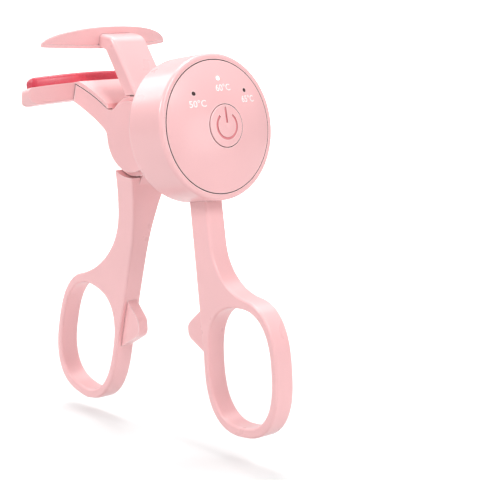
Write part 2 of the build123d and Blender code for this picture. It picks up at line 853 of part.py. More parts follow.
with BuildPart() as upper_jaw:
    # Neck that rises from the hub and turns over to meet the bar.
    with BuildSketch(Plane.XZ):
        Polygon(*upper_neck_profile, align=None)
    extrude(amount=neck_half_width, both=True)
    with BuildSketch(Plane.XZ):
        Circle(eye_slot_radius)
    extrude(amount=neck_half_width, both=True, mode=Mode.SUBTRACT)
    fillet(upper_jaw.edges().filter_by(Axis.Y).sort_by_distance((-4.3, 0, 27.3))[0], neck_top_round)
    side_edges = upper_jaw.faces().filter_by(Axis.Y).edges().filter_by(GeomType.LINE)
    fillet(side_edges.filter_by(lambda e: e.length > 10), edge_round)
    add(arched_bar())
    add(web(upper_web))
    add(half_eye(-1))
    # Pocket for the torsion spring, with a slot for its moving leg.
    with BuildSketch(side_plane(-eye_half_width)):
        Circle(spring_pocket_radius)
        with Locations((0, -spring_radius - spring_leg / 2)):
            Rectangle(2 * spring_wire + 0.2, spring_leg + 1.0)
    extrude(amount=-spring_pocket_depth, mode=Mode.SUBTRACT)
    add(screw_bodies(lever_screw_plane, lever_screw_places, eye_half_width), mode=Mode.SUBTRACT)
finish(upper_jaw, "upper_jaw")

with BuildPart() as left_handle:
    left_strip = [left_outer_top, left_inner_top, left_inner_low, left_outer_low]
    extrude(
        ring_with_strip(left_strip, left_ring, left_lean, left_shoulder, left_shoulder_round),
        amount=taper_top,
        both=True,
    )
    # In the front view the handle narrows from the hub's width to the ring's thickness.
    with BuildSketch(Plane.YZ):
        with BuildLine():
            foot = left_ring[1] - ring_long - 1
            far_taper = TangentArc((handle_half_thickness, taper_end), (taper_top, taper_start), tangent=(0, 1))
            near_taper = TangentArc((-handle_half_thickness, taper_end), (-taper_top, taper_start), tangent=(0, 1))
            Line(far_taper @ 1, near_taper @ 1)
            Polyline(
                far_taper @ 0, (handle_half_thickness, foot), (-handle_half_thickness, foot), near_taper @ 0
            )
        make_face()
    extrude(amount=4 * ring_long, both=True, mode=Mode.INTERSECT)
    side_edges = left_handle.edges().filter_by(lambda e: abs(e.center().Y) > handle_half_thickness - 0.1)
    # The level edges are the top and the foot of the taper, which stay sharp.
    fillet(side_edges.filter_by(lambda e: e.is_closed or abs((e @ 0).Z - (e @ 1).Z) > 1), handle_edge_round)
    # The top is as wide as the hub and clears the cheeks.
    with BuildSketch(Plane.XZ):
        Rectangle(8 * ring_long, 8 * ring_long)
    extrude(amount=hub_half_width, both=True, mode=Mode.INTERSECT)
    with BuildSketch(Plane.XZ):
        Circle(eye_slot_radius)
    extrude(amount=hub_half_width, both=True, mode=Mode.SUBTRACT)
    add(stop_bump(left_stop))
    add(web(lower_web))
    add(half_eye(1))
    add(screw_bodies(lever_screw_plane, lever_screw_places, lever_screw_length), mode=Mode.SUBTRACT)
finish(left_handle, "left_handle")

with BuildPart() as lever_screws:
    add(screw_bodies(lever_screw_plane, lever_screw_places, lever_screw_length))
    add(cross_recesses(lever_screw_plane, lever_screw_places), mode=Mode.SUBTRACT)
finish(lever_screws, "lever_screws")

# ---------------------------------------------------------------- pivot

with BuildPart() as pivot_bush:
    with BuildSketch(Plane.XZ):
        Circle(bush_radius)
        Circle(pin_radius + running_gap, mode=Mode.SUBTRACT)
    extrude(amount=eye_half_width, both=True)
finish(pivot_bush, "pivot_bush")

with BuildPart() as pivot_pin:
    with BuildSketch(Plane.XZ):
        Circle(pin_radius)
    extrude(amount=cheek_outer - 0.1, both=True)
    chamfer(pivot_pin.edges().filter_by(GeomType.CIRCLE), 0.3)
finish(pivot_pin, "pivot_pin")

with BuildPart() as pivot_washers:
    for side in (-1, 1):
        with BuildSketch(side_plane(side * (eye_half_width + 0.02))):
            Circle(bush_radius + 0.3)
            Circle(pin_radius + running_gap, mode=Mode.SUBTRACT)
        extrude(amount=-side * washer_thickness)
finish(pivot_washers, "pivot_washers")

with BuildPart() as torsion_spring:
    # Coil wound from the near face inward, with a fixed leg in the cheek and a moving leg in the eye.
    coil = Helix(
        pitch=spring_pitch,
        height=spring_pitch * spring_turns,
        radius=spring_radius,
        center=(0, spring_start, 0),
        direction=(0, 1, 0),
    )
    with BuildSketch(Plane(origin=coil @ 0, z_dir=coil % 0)):
        Circle(spring_wire)
    sweep(path=coil, is_frenet=True)
    with BuildSketch(side_plane(spring_start + spring_wire / 2)):
        with Locations((0, spring_radius)):
            Circle(spring_leg_radius)
    extrude(amount=spring_wire / 2 + spring_leg + cheek_inner + spring_start - 0.1)
    with BuildSketch(Plane(origin=coil @ 1 + Vector(0, 0, spring_wire / 2), z_dir=(0, 0, -1))):
        Circle(spring_leg_radius)
    extrude(amount=spring_wire / 2 + spring_leg)
finish(torsion_spring, "torsion_spring")
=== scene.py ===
import json
from math import atan2, cos, pi, radians, sin, sqrt

import bmesh
import bpy
from mathutils import Matrix, Vector
from mathutils.bvhtree import BVHTree


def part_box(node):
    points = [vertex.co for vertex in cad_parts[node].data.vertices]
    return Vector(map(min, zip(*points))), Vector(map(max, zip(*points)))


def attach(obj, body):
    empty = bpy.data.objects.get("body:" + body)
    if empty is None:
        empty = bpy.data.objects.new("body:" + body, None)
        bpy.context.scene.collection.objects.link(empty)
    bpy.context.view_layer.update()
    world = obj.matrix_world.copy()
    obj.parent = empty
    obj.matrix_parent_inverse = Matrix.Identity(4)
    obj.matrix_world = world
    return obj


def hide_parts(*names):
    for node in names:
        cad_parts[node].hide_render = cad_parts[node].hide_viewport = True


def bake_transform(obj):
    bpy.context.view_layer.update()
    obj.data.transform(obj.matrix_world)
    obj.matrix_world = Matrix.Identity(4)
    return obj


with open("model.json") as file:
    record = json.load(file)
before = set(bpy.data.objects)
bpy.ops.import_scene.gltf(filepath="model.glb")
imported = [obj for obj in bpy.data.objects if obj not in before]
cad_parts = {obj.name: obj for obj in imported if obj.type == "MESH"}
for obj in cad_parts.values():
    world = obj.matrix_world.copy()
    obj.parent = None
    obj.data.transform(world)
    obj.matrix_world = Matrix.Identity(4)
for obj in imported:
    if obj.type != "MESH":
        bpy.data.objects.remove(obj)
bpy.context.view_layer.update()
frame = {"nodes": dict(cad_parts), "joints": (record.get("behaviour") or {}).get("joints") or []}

# Looks of a heated scissor-type eyelash curler, built round its CAD frame. Metres, +Z up.

MM = 0.001
PIVOT = Vector(next(j["pos_m"] for j in frame["joints"] if j["name"] == "jaw_close"))
PANEL_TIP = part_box("front_panel")[1].x
BUTTON_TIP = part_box("power_button")[1].x

# Driving dimensions shared with the CAD. The front panel and the button lie on one dome.
PANEL_RADIUS = 17.4 * MM
PANEL_RISE = 3.4 * MM
DOME_RADIUS = (PANEL_RADIUS**2 + PANEL_RISE**2) / (2 * PANEL_RISE)
# The lower jaw dips toward the eye (-X). Its front face is an arc round the eye, JAW_FRONT from the pivot
# at its middle.
JAW_DIP = radians(5.7)
JAW_RADIUS = 42.0 * MM
JAW_FRONT = -15.8 * MM


# ---------------------------------------------------------------- node helpers

# Most values of a noise texture lie in this range.
NOISE_LOW = 0.3
NOISE_HIGH = 0.7


def scale_colour(colour, factor):
    """Lighter or darker version of an RGB colour."""
    return tuple(min(1.0, channel * factor) for channel in colour)


def add_remap(nodes, links, value, from_low, from_high, to_low, to_high):
    """Linear map of a value from one range to another, clamped."""
    node = nodes.new("ShaderNodeMapRange")
    node.inputs["From Min"].default_value = from_low
    node.inputs["From Max"].default_value = from_high
    node.inputs["To Min"].default_value = to_low
    node.inputs["To Max"].default_value = to_high
    links.new(value, node.inputs["Value"])
    return node.outputs["Result"]


class Finish:
    """A node material round a Principled shader. Its methods add nodes and return their output sockets."""

    def __init__(self, name):
        self.material = bpy.data.materials.new(name)
        self.material.use_nodes = True
        self.nodes = self.material.node_tree.nodes
        self.links = self.material.node_tree.links
        self.shader = self.nodes["Principled BSDF"]
        self.place = self.nodes.new("ShaderNodeTexCoord").outputs["Object"]

    def set(self, name, value):
        """Gives a shader input a fixed value or another node's output."""
        socket = self.shader.inputs[name]
        if isinstance(value, bpy.types.NodeSocket):
            self.links.new(value, socket)
        else:
            socket.default_value = value

    def noise(self, scale, detail, place=None):
        """Noise texture, with its scale in features per metre."""
        node = self.nodes.new("ShaderNodeTexNoise")
        node.inputs["Scale"].default_value = scale
        node.inputs["Detail"].default_value = detail
        self.links.new(place or self.place, node.inputs["Vector"])
        return node.outputs["Fac"]

    def remap(self, value, from_low, from_high, to_low, to_high):
        return add_remap(self.nodes, self.links, value, from_low, from_high, to_low, to_high)

    def spread(self, noise, low=0.0, high=1.0):
        """Noise stretched over the range from low to high."""
        return self.remap(noise, NOISE_LOW, NOISE_HIGH, low, high)

    def mix(self, factor, first, second):
        """Mix of two colours, each given as a socket or as an RGB tuple."""
        node = self.nodes.new("ShaderNodeMix")
        node.data_type = "RGBA"
        self.links.new(factor, node.inputs["Factor"])
        for key, colour in (("A", first), ("B", second)):
            socket = next(s for s in node.inputs if s.name == key and s.type == "RGBA")
            if isinstance(colour, tuple):
                socket.default_value = (*colour, 1)
            else:
                self.links.new(colour, socket)
        return next(s for s in node.outputs if s.type == "RGBA")

    def bump(self, height, strength, distance):
        """Raises the surface by a height value, with the distance in metres."""
        node = self.nodes.new("ShaderNodeBump")
        node.inputs["Strength"].default_value = strength
        node.inputs["Distance"].default_value = distance
        self.links.new(height, node.inputs["Height"])
        self.set("Normal", node.outputs["Normal"])

    def edges(self, radius, strength):
        """0 on flat surfaces, rising toward strength along convex and concave edges; it places the painted
        edge highlight.
        """
        square = 0.99
        turned = 0.86
        bevel = self.nodes.new("ShaderNodeBevel")
        bevel.samples = 4
        bevel.inputs["Radius"].default_value = radius
        geometry = self.nodes.new("ShaderNodeNewGeometry")
        agreement = self.nodes.new("ShaderNodeVectorMath")
        agreement.operation = "DOT_PRODUCT"
        self.links.new(bevel.outputs["Normal"], agreement.inputs[0])
        self.links.new(geometry.outputs["Normal"], agreement.inputs[1])
        return self.remap(agreement.outputs["Value"], square, turned, 0, strength)

    def crevice_shade(self, reach):
        """1 deep in seams and gaps, 0 on open surfaces; it places painted shade."""
        closed = 0.24
        open_air = 0.60
        occlusion = self.nodes.new("ShaderNodeAmbientOcclusion")
        occlusion.samples = 8
        occlusion.inputs["Distance"].default_value = reach
        return self.remap(occlusion.outputs["AO"], closed, open_air, 1, 0)

    def glow(self, strength):
        """White light given off by the surface."""
        self.set("Emission Color", (1, 1, 1, 1))
        self.set("Emission Strength", strength)


# ---------------------------------------------------------------- materials

PINK = (0.955, 0.545, 0.555)
# Painted highlight colour for edges.
EDGE_HIGHLIGHT_PINK = (1.0, 0.82, 0.82)
# Painted shade colour for seams, gaps and concave corners.
SEAM_SHADE_BROWN = (0.04, 0.012, 0.012)
# Painted shade colour for the power symbol's grooves.
SYMBOL_SHADE = (0.80, 0.28, 0.31)
SYMBOL_DEPTH = 0.25 * MM
FINE_BUMP = 0.02 * MM


def moulded_plastic(name, colour, roughness=0.30):
    """Satin moulded plastic: soft colour drift, fine orange peel, painted highlights along edges and painted
    shade in seams, gaps and concave corners.
    """
    finish = Finish(name)
    drift = finish.spread(finish.noise(scale=55, detail=2))
    body = finish.mix(drift, scale_colour(colour, 0.975), scale_colour(colour, 1.02))
    speckle = finish.remap(finish.noise(scale=2600, detail=2), 0.35, 0.65, 0, 0.18)
    grained = finish.mix(speckle, body, scale_colour(colour, 0.94))
    # Edges are lightened toward a paler pink: a painted highlight.
    edged = finish.mix(finish.edges(radius=0.5 * MM, strength=0.55), grained, EDGE_HIGHLIGHT_PINK)
    # Seams, gaps and concave corners are darkened by ambient occlusion: painted shade.
    finish.set("Base Color", finish.mix(finish.crevice_shade(reach=0.7 * MM), edged, SEAM_SHADE_BROWN))
    wiped = finish.noise(scale=160, detail=4)
    finish.set("Roughness", finish.spread(wiped, roughness - 0.03, roughness + 0.06))
    finish.bump(finish.noise(scale=1500, detail=2), strength=0.10, distance=FINE_BUMP)
    finish.set("Coat Weight", 0.40)
    finish.set("Coat Roughness", 0.14)
    return finish


def silicone(name, dark, light, dust_tint):
    """Satin silicone, a little translucent, with faint flow marks and dust."""
    finish = Finish(name)
    flow = finish.noise(scale=120, detail=3)
    body = finish.mix(finish.spread(flow), dark, light)
    dust = finish.noise(scale=3000, detail=2)
    dusty = finish.mix(finish.remap(dust, 0.55, 0.75, 0, 0.15), body, dust_tint)
    finish.set("Base Color", dusty)
    finish.set("Roughness", finish.spread(flow, 0.28, 0.40))
    finish.bump(dust, strength=0.15, distance=FINE_BUMP)
    finish.set("Subsurface Weight", 0.25)
    finish.set("Subsurface Radius", (1.0, 0.2, 0.2))
    finish.set("Subsurface Scale", 1.5 * MM)
    finish.set("Sheen Weight", 0.15)
    return finish


def metal(name, colour, roughness, streaks=900):
    """Machined or drawn metal with fine streaks and darker, oiled patches."""
    finish = Finish(name)
    stretch = finish.nodes.new("ShaderNodeMapping")
    stretch.inputs["Scale"].default_value = (1.0, 0.08, 1.0)
    finish.links.new(finish.place, stretch.inputs["Vector"])
    streak = finish.noise(scale=streaks, detail=4, place=stretch.outputs["Vector"])
    patch = finish.remap(finish.noise(scale=220, detail=3), 0.35, 0.70, 0, 1)
    finish.set("Base Color", finish.mix(patch, colour, scale_colour(colour, 0.75)))
    finish.set("Roughness", finish.spread(streak, roughness - 0.08, roughness + 0.12))
    finish.bump(streak, strength=0.2, distance=FINE_BUMP)
    finish.set("Metallic", 1.0)
    return finish


def matt(name, dark, light, roughness, grain_scale=1500, grain_depth=0.01 * MM):
    """Matt material: two tones mixed by grain, darker in broad patches, with the grain raised as bump."""
    finish = Finish(name)
    grain = finish.noise(scale=grain_scale, detail=4)
    broad = finish.noise(scale=grain_scale / 12, detail=2)
    fine_mix = finish.mix(finish.remap(grain, 0.35, 0.65, 0, 1), dark, light)
    toned = finish.mix(finish.spread(broad, 0, 0.35), fine_mix, scale_colour(dark, 0.8))
    finish.set("Base Color", toned)
    finish.set("Roughness", finish.spread(broad, roughness - 0.06, roughness + 0.08))
    finish.bump(grain, strength=0.3, distance=grain_depth)
    return finish


def circuit_green(name):
    """Green solder mask with copper traces that show through as paler, raised lines."""
    finish = Finish(name)
    turn = finish.nodes.new("ShaderNodeMapping")
    turn.inputs["Rotation"].default_value = (0, pi / 2, 0)
    finish.links.new(finish.place, turn.inputs["Vector"])
    traces = finish.nodes.new("ShaderNodeTexBrick")
    traces.inputs["Scale"].default_value = 420
    traces.inputs["Mortar Size"].default_value = 0.03
    traces.inputs["Color1"].default_value = (0.02, 0.16, 0.07, 1)
    traces.inputs["Color2"].default_value = (0.02, 0.19, 0.08, 1)
    traces.inputs["Mortar"].default_value = (0.06, 0.34, 0.16, 1)
    finish.links.new(turn.outputs["Vector"], traces.inputs["Vector"])
    drift = finish.noise(scale=300, detail=3)
    toned = finish.mix(finish.spread(drift, 0, 0.4), traces.outputs["Color"], (0.01, 0.10, 0.05))
    finish.set("Base Color", toned)
    finish.set("Roughness", finish.spread(drift, 0.28, 0.42))
    finish.bump(traces.outputs["Fac"], strength=0.4, distance=0.03 * MM)
    finish.set("Coat Weight", 0.4)
    return finish


def printed_ink(name):
    """White pad-printed ink: opaque, slightly rough, thinner in places."""
    finish = Finish(name)
    cover = finish.noise(scale=1800, detail=3)
    thin = finish.remap(cover, 0.30, 0.75, 0, 0.35)
    finish.set("Base Color", finish.mix(thin, (0.98, 0.96, 0.96), (0.98, 0.78, 0.79)))
    finish.set("Roughness", finish.spread(cover, 0.4, 0.6))
    finish.bump(cover, strength=0.3, distance=0.01 * MM)
    return finish


def light_pipe(name):
    """Three light windows: the middle one glows white, the outer two are dark smoked plastic."""
    middle_reach = 2.0 * MM
    blur = 0.1 * MM
    brightness = 0.8
    reach = (middle_reach - blur, middle_reach + blur)
    finish = Finish(name)
    position = finish.nodes.new("ShaderNodeSeparateXYZ")
    finish.links.new(finish.place, position.inputs["Vector"])
    off_centre = finish.nodes.new("ShaderNodeMath")
    off_centre.operation = "ABSOLUTE"
    finish.links.new(position.outputs["Y"], off_centre.inputs[0])
    frost = finish.noise(scale=2500, detail=2)
    dark = finish.mix(finish.spread(frost), (0.035, 0.018, 0.018), (0.08, 0.04, 0.04))
    lit = finish.remap(off_centre.outputs[0], *reach, 1, 0)
    finish.set("Base Color", finish.mix(lit, dark, (1.0, 1.0, 1.0)))
    finish.set("Roughness", finish.spread(frost, 0.20, 0.35))
    finish.glow(finish.remap(off_centre.outputs[0], *reach, brightness, 0))
    return finish


def engrave(finish, centre, radius, depth, shade_colour):
    """Darkens a dome's plastic wherever its surface lies below the dome, in an engraved symbol's grooves:
    painted shade.
    """
    distance = finish.nodes.new("ShaderNodeVectorMath")
    distance.operation = "DISTANCE"
    distance.inputs[1].default_value = centre
    finish.links.new(finish.place, distance.inputs[0])
    below = finish.remap(distance.outputs["Value"], radius - depth, radius - depth / 3, 1, 0)
    plain = finish.shader.inputs["Base Color"].links[0].from_socket
    finish.set("Base Color", finish.mix(below, plain, shade_colour))


def engraved_plastic(name):
    """The button's plastic, with painted shade in its power symbol's grooves."""
    finish = moulded_plastic(name, PINK, roughness=0.34)
    dome_centre = Vector((BUTTON_TIP - DOME_RADIUS, PIVOT.y, PIVOT.z))
    engrave(finish, dome_centre, DOME_RADIUS, SYMBOL_DEPTH, SYMBOL_SHADE)
    return finish


rose_silicone = silicone(
    "rose_silicone", dark=(0.61, 0.050, 0.085), light=(0.69, 0.076, 0.115), dust_tint=(0.95, 0.45, 0.50)
)
spring_steel = metal("spring_steel", (0.40, 0.41, 0.44), 0.38, streaks=2200)

FINISHES = (
    (moulded_plastic("pink_shell_plastic", PINK), ("jaw_frame", "drum_housing", "right_handle")),
    (moulded_plastic("pink_lever_plastic", PINK), ("upper_jaw", "left_handle")),
    (moulded_plastic("pink_cover_plastic", PINK, roughness=0.32), ("near_cover", "far_cover")),
    (moulded_plastic("pink_panel_plastic", PINK, roughness=0.34), ("front_panel",)),
    (engraved_plastic("pink_button_plastic"), ("power_button",)),
    (light_pipe("light_windows_resin"), ("light_windows",)),
    (rose_silicone, ("eyelash_pad",)),
    (
        metal("machined_steel", (0.62, 0.62, 0.64), 0.32),
        ("panel_screws", "frame_screws", "handle_screws", "lever_screws", "pivot_pin"),
    ),
    (metal("sintered_bronze", (0.62, 0.40, 0.18), 0.45), ("pivot_bush",)),
    (metal("plated_socket", (0.68, 0.68, 0.70), 0.22), ("usb_socket",)),
    (spring_steel, ("torsion_spring",)),
    (circuit_green("solder_mask"), ("circuit_board",)),
    (
        matt("heater_film", (0.45, 0.17, 0.03), (0.62, 0.27, 0.06), 0.40),
        ("heater_strip",),
    ),
    (
        matt("acetal", (0.78, 0.78, 0.74), (0.88, 0.88, 0.84), 0.45, grain_scale=1400),
        ("pivot_washers",),
    ),
    (
        matt("plunger_acetal", (0.80, 0.79, 0.75), (0.90, 0.89, 0.86), 0.42, grain_scale=1600),
        ("switch_plunger",),
    ),
    (
        matt("led_resin", (0.80, 0.78, 0.62), (0.92, 0.91, 0.80), 0.25, grain_scale=1800),
        ("status_leds",),
    ),
    (
        matt("chip_epoxy", (0.015, 0.015, 0.016), (0.04, 0.04, 0.042), 0.60, 2400, 0.02 * MM),
        ("board_chips",),
    ),
    (
        matt("switch_nylon", (0.03, 0.03, 0.035), (0.06, 0.06, 0.065), 0.50, 2000, 0.02 * MM),
        ("tact_switch",),
    ),
    (
        matt("cell_foil", (0.34, 0.37, 0.42), (0.48, 0.51, 0.56), 0.35, 700, 0.05 * MM),
        ("battery",),
    ),
    (
        matt("black_foam", (0.02, 0.02, 0.02), (0.07, 0.07, 0.07), 0.90, 3000, 0.10 * MM),
        ("battery_foam",),
    ),
    (
        matt("battery_wire_insulation", (0.40, 0.02, 0.02), (0.56, 0.04, 0.04), 0.40, grain_depth=0.02 * MM),
        ("battery_wires",),
    ),
    (
        matt("heater_wire_insulation", (0.50, 0.48, 0.46), (0.66, 0.64, 0.62), 0.45, grain_depth=0.02 * MM),
        ("heater_wires",),
    ),
)


def dress_cad_nodes():
    """Puts each CAD node's material in its slots."""
    for finish, names in FINISHES:
        for name in names:
            node = frame["nodes"][name]
            if not node.material_slots:
                node.data.materials.append(finish.material)
            for material_slot in node.material_slots:
                material_slot.material = finish.material


# ---------------------------------------------------------------- mesh helpers


def link_mesh(name, builder, finish):
    """Turns a bmesh into a smooth-shaded object with one material."""
    mesh = bpy.data.meshes.new(name)
    bmesh.ops.recalc_face_normals(builder, faces=builder.faces)
    builder.to_mesh(mesh)
    builder.free()
    for face in mesh.polygons:
        face.use_smooth = True
    piece = bpy.data.objects.new(name, mesh)
    bpy.context.scene.collection.objects.link(piece)
    piece.data.materials.append(finish.material)
    return piece


def skin_rings(builder, rings):
    """Joins rings of corners, each with the same number of points, into a closed tube with flat ends."""
    corners = [[builder.verts.new(point) for point in ring] for ring in rings]
    count = len(corners[0])
    for first, second in zip(corners, corners[1:]):
        for k in range(count):
            after = (k + 1) % count
            builder.faces.new((first[k], first[after], second[after], second[k]))
    builder.faces.new(corners[0])
    builder.faces.new(corners[-1])


# ---------------------------------------------------------------- silicone pad

# The section's side walls and foot as shares of its height and half width, and the squareness of its dome.
PAD_SIDE_SHARE = 0.40
PAD_FOOT_WIDTH = 0.96
PAD_FOOT_SHARE = 0.15
PAD_DOME_POWER = 3.2
PAD_DOME_STEPS = 20
# The ends' rounding, and how much of it narrows the section and lifts its foot.
PAD_STATIONS = 96
PAD_END_ROUND = 1.5 * MM
PAD_END_NARROWING = 0.55
PAD_END_LIFT = 0.10


def jaw_local(point):
    """World point to the lower jaw's own frame, whose z is its height above the pivot."""
    return Matrix.Rotation(JAW_DIP, 3, "Y") @ (point - PIVOT)


def jaw_world(point):
    """Point in the lower jaw's own frame to the world."""
    return Matrix.Rotation(-JAW_DIP, 3, "Y") @ point + PIVOT


def pad_section():
    """Pad's section in unit coordinates: across from -1 to 1 and up from 0 to 1, with a domed top."""
    points = [(-PAD_FOOT_WIDTH, 0.0), (PAD_FOOT_WIDTH, 0.0), (1.0, PAD_FOOT_SHARE), (1.0, PAD_SIDE_SHARE)]
    for i in range(1, PAD_DOME_STEPS):
        angle = pi * i / PAD_DOME_STEPS
        side = 1 if cos(angle) > 0 else -1
        across = side * abs(cos(angle)) ** (2 / PAD_DOME_POWER)
        up = sin(angle) ** (2 / PAD_DOME_POWER)
        points.append((across, PAD_SIDE_SHARE + (1 - PAD_SIDE_SHARE) * up))
    return points + [(-1.0, PAD_SIDE_SHARE), (-1.0, PAD_FOOT_SHARE)]


def build_pad():
    """Silicone pad swept along the lid's curve, with rounded ends."""
    corners = [jaw_local(v.co) for v in frame["nodes"]["eyelash_pad"].data.vertices]
    arc_centre = JAW_FRONT - JAW_RADIUS
    radii = [sqrt((p.x - arc_centre) ** 2 + p.y**2) for p in corners]
    foot = min(p.z for p in corners)
    height = max(p.z for p in corners) - foot
    middle = (min(radii) + max(radii)) / 2
    half_depth = (max(radii) - min(radii)) / 2
    half_width = max(abs(p.y) for p in corners)
    rings = []
    for i in range(PAD_STATIONS + 1):
        # Stations crowd toward the ends, where the rounding is.
        y = half_width * sin(pi / 2 * (2 * i / PAD_STATIONS - 1))
        into_round = max(0.0, PAD_END_ROUND - (half_width - abs(y)))
        inset = PAD_END_ROUND - sqrt(max(0.0, PAD_END_ROUND**2 - into_round**2))
        ring = []
        for across, up in pad_section():
            radius = middle + across * (half_depth - PAD_END_NARROWING * inset)
            level = foot + up * (height - inset) + PAD_END_LIFT * inset
            ring.append(jaw_world(Vector((arc_centre + sqrt(radius**2 - y**2), y, level))))
        rings.append(ring)
    builder = bmesh.new()
    skin_rings(builder, rings)
    pad = link_mesh("silicone_pad", builder, rose_silicone)
    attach(pad, "base")
    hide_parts("eyelash_pad")


# ---------------------------------------------------------------- torsion spring

# The coil starts at SPRING_START along the pivot's axis and bends sharply into its two legs.
SPRING_RADIUS = 4.2 * MM
SPRING_WIRE_RADIUS = 0.30 * MM
SPRING_WIRE_SIDES = 12
SPRING_START = -3.35 * MM
SPRING_PITCH = 0.75 * MM
SPRING_TURNS = 2.5
SPRING_LENGTH = SPRING_PITCH * SPRING_TURNS
SPRING_STEPS = 100
SPRING_BEND = 0.40 * MM
SPRING_BEND_STEPS = 5


def spring_path():
    """Centre line of the spring, about the pivot, from its fixed leg's end to its moving leg's end."""
    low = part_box("torsion_spring")[0]
    lead = SPRING_BEND / SPRING_RADIUS
    travel = 2 * pi * SPRING_TURNS - 2 * lead
    path = [Vector((0, low.y - PIVOT.y, SPRING_RADIUS))]
    for i in range(SPRING_BEND_STEPS):
        angle = pi / 2 * i / SPRING_BEND_STEPS
        across = SPRING_BEND * (1 - cos(angle))
        along = SPRING_START - SPRING_BEND * (1 - sin(angle))
        path.append(Vector((across, along, SPRING_RADIUS)))
    for i in range(SPRING_STEPS + 1):
        angle = lead + travel * i / SPRING_STEPS
        along = SPRING_START + SPRING_LENGTH * i / SPRING_STEPS
        path.append(Vector((SPRING_RADIUS * sin(angle), along, SPRING_RADIUS * cos(angle))))
    for i in range(1, SPRING_BEND_STEPS + 1):
        angle = pi / 2 * i / SPRING_BEND_STEPS
        across = SPRING_BEND * (1 - sin(angle))
        drop = SPRING_BEND * (1 - cos(angle))
        path.append(Vector((across, along, -SPRING_RADIUS - drop)))
    path.append(Vector((0, along, low.z - PIVOT.z)))
    return path


def build_spring():
    """Torsion spring of round wire, whose coils wind up as the lever turns."""
    path = spring_path()
    rings = []
    first_axis = Vector((1, 0, 0))
    for i, point in enumerate(path):
        tangent = (path[min(i + 1, len(path) - 1)] - path[max(i - 1, 0)]).normalized()
        first_axis = (first_axis - tangent * first_axis.dot(tangent)).normalized()
        second_axis = tangent.cross(first_axis)
        ring = []
        for k in range(SPRING_WIRE_SIDES):
            angle = 2 * pi * k / SPRING_WIRE_SIDES
            offset = first_axis * cos(angle) + second_axis * sin(angle)
            ring.append(PIVOT + point + offset * SPRING_WIRE_RADIUS)
        rings.append(ring)
    builder = bmesh.new()
    skin_rings(builder, rings)
    spring = link_mesh("wound_spring", builder, spring_steel)
    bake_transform(spring)
    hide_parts("torsion_spring")


# ---------------------------------------------------------------- temperature labels

LABEL_HEIGHT = 1.75 * MM
LABEL_CAP_SHARE = 0.72
LABEL_THICKNESS = 0.03 * MM
LABEL_BOLDNESS = 0.03 * MM
LABEL_LIFT = 0.02 * MM
# Degrees Celsius, and the label's centre across and up from the drum's axis.
LABELS = (
    (50, -8.0 * MM, 6.0 * MM),
    (60, 0.9 * MM, 9.7 * MM),
    (65, 9.3 * MM, 6.4 * MM),
)


def flat_text(text):
    """Mesh of a thin text, centred on the origin of the XY plane."""
    curve = bpy.data.curves.new("text", "FONT")
    curve.body = text
    curve.size = LABEL_HEIGHT / LABEL_CAP_SHARE
    curve.align_x = "CENTER"
    curve.align_y = "CENTER"
    curve.resolution_u = 4
    curve.offset = LABEL_BOLDNESS
    curve.extrude = LABEL_THICKNESS / 2
    holder = bpy.data.objects.new("text", curve)
    bpy.context.scene.collection.objects.link(holder)
    bpy.context.view_layer.update()
    mesh = bpy.data.meshes.new_from_object(holder.evaluated_get(bpy.context.evaluated_depsgraph_get()))
    bpy.data.objects.remove(holder)
    return mesh


def build_labels():
    """Printed temperature labels that follow the front panel's dome."""
    ink = printed_ink("white_ink")
    panel = frame["nodes"]["front_panel"].data
    corners = [vertex.co.copy() for vertex in panel.vertices]
    surface = BVHTree.FromPolygons(corners, [tuple(face.vertices) for face in panel.polygons])
    outside = PANEL_TIP + PANEL_RISE
    for degrees, across, up in LABELS:
        mesh = flat_text(f"{degrees}\N{DEGREE SIGN}C")
        for vertex in mesh.vertices:
            y = PIVOT.y + across + vertex.co.x
            z = PIVOT.z + up + vertex.co.y
            hit = surface.ray_cast(Vector((outside, y, z)), Vector((-1, 0, 0)))[0]
            vertex.co = Vector((hit.x + LABEL_LIFT + vertex.co.z, y, z))
        mesh.materials.clear()
        mesh.materials.append(ink.material)
        label = bpy.data.objects.new(f"label_{degrees}_degrees", mesh)
        bpy.context.scene.collection.objects.link(label)
        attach(label, "base")


# ---------------------------------------------------------------- camera

CAMERA_AZIMUTH = radians(48.41)
CAMERA_ELEVATION = radians(3.35)
CAMERA_ROLL = radians(6.02)
CAMERA_AIM = PIVOT + Vector((15.64, 14.91, -30.78)) * MM
CAMERA_DISTANCE = 423.42 * MM
CAMERA_LENS = 117.307
CAMERA_SENSOR = 36


def camera_axes():
    """The camera's right, up and toward-the-viewer directions."""
    a, e, r = CAMERA_AZIMUTH, CAMERA_ELEVATION, CAMERA_ROLL
    toward = Vector((sin(a) * cos(e), -cos(a) * cos(e), sin(e)))
    level_right = Vector((cos(a), sin(a), 0))
    level_up = Vector((-sin(a) * sin(e), cos(a) * sin(e), cos(e)))
    right = level_right * cos(r) - level_up * sin(r)
    up = level_right * sin(r) + level_up * cos(r)
    return right, up, toward


def build_camera():
    """Camera that looks at the front panel's side of the object from slightly above."""
    right, up, toward = camera_axes()
    data = bpy.data.cameras.new("camera")
    data.lens = CAMERA_LENS
    data.sensor_width = CAMERA_SENSOR
    data.clip_start = 0.01
    camera = bpy.data.objects.new("camera", data)
    bpy.context.scene.collection.objects.link(camera)
    turn = Matrix((right, up, toward)).transposed()
    camera.matrix_world = Matrix.Translation(CAMERA_AIM + toward * CAMERA_DISTANCE) @ turn.to_4x4()
    bpy.context.scene.camera = camera


# ---------------------------------------------------------------- stage

